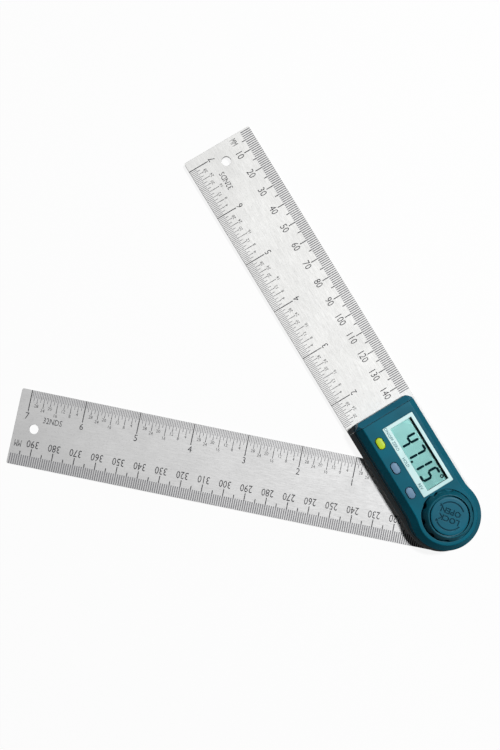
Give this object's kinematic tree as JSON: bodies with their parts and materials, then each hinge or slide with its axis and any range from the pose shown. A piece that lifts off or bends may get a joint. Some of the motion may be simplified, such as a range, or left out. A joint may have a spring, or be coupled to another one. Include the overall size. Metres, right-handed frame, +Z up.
{
  "type": "digital angle finder",
  "caption": "Two pivoted steel rules with etched scales, a digital angle display housing on the upper rule, and a notched lock knob over the pivot.",
  "frame": {"origin": "on the pivot axis, in the plane of the lower rule's underside", "axes": "+X along the display rule to its square end, +Z up out of the display, +Y towards the side that the moving rule opens to"},
  "size_m": [0.2175, 0.1757, 0.0185],
  "materials": {
    "rule_steel": "etched stainless steel, fine brushed grain",
    "housing_plastic": "satin moulded ABS, teal",
    "knob_plastic": "satin moulded ABS, teal",
    "bezel_plastic": "printed white face plate",
    "pane_clear": "clear acrylic",
    "panel_glass": "liquid crystal glass with pale green reflector",
    "holder_plastic": "plain moulding",
    "connector_rubber": "layered elastomer",
    "keypad_rubber": "silicone rubber",
    "button_lime": "moulded keycap",
    "button_grey": "moulded keycap",
    "board_laminate": "solder resist over glass laminate",
    "resin_black": "moulded epoxy drop",
    "crystal_can": "pressed can",
    "ceramic_tan": "fired ceramic",
    "cell_steel": "plated can",
    "contact_bronze": "sheet spring",
    "shaft_steel": "turned",
    "spring_steel": "hardened sheet",
    "slide_plastic": "low friction washer stock",
    "bush_plastic": "acetal",
    "insert_brass": "turned",
    "screw_steel": "plated"
  },
  "bodies": {
    "frame": {"display_blade": "rule_steel", "housing_shell": "housing_plastic", "display_bezel": "bezel_plastic", "display_pane": "pane_clear", "display_panel": "panel_glass", "display_holder": "holder_plastic", "display_connectors": "connector_rubber", "keypad": "keypad_rubber", "main_board": "board_laminate", "controller_chip": "resin_black", "quartz_crystal": "crystal_can", "capacitors": "ceramic_tan", "contact_side": "contact_bronze", "contact_top": "contact_bronze", "pivot_bush": "bush_plastic", "disc_spring": "spring_steel", "friction_washer": "slide_plastic", "housing_screws": "screw_steel", "board_screws": "screw_steel"},
    "arm": {"moving_blade": "rule_steel", "pivot_shaft": "shaft_steel", "blade_spacer": "slide_plastic", "retaining_clip": "spring_steel", "rotor_hub": "bush_plastic", "encoder_rotor": "board_laminate", "knob_stop_screw": "screw_steel"},
    "knob": {"lock_knob": "knob_plastic", "knob_insert": "insert_brass", "knob_cap": "knob_plastic"},
    "drawer": {"battery_drawer": "housing_plastic", "coin_cell": "cell_steel"},
    "on_off_key": {"button_on_off": "button_lime"},
    "hold_key": {"button_hold": "button_grey"},
    "reverse_key": {"button_reverse": "button_grey"}
  },
  "joints": [
    {"name": "arm_swing", "type": "hinge", "parent": "frame", "child": "arm", "pos_m": [0, 0, 0], "axis": [0, 0, 1], "continuous": true},
    {"name": "knob_lock", "type": "hinge", "parent": "arm", "child": "knob", "pos_m": [0, 0, 0.016], "axis": [0, 0, 1], "range_deg": [0, 120]},
    {"name": "drawer_slide", "type": "slide", "parent": "frame", "child": "drawer", "axis": [1, 0, 0], "range_m": [0, 0.024]},
    {"name": "on_off_press", "type": "slide", "parent": "frame", "child": "on_off_key", "axis": [0, 0, -1], "range_m": [0, 0.0006], "stiffness_N_per_m": 600, "springref_m": -0.0003},
    {"name": "hold_press", "type": "slide", "parent": "frame", "child": "hold_key", "axis": [0, 0, -1], "range_m": [0, 0.0006], "stiffness_N_per_m": 600, "springref_m": -0.0003},
    {"name": "reverse_press", "type": "slide", "parent": "frame", "child": "reverse_key", "axis": [0, 0, -1], "range_m": [0, 0.0006], "stiffness_N_per_m": 600, "springref_m": -0.0003}
  ]
}
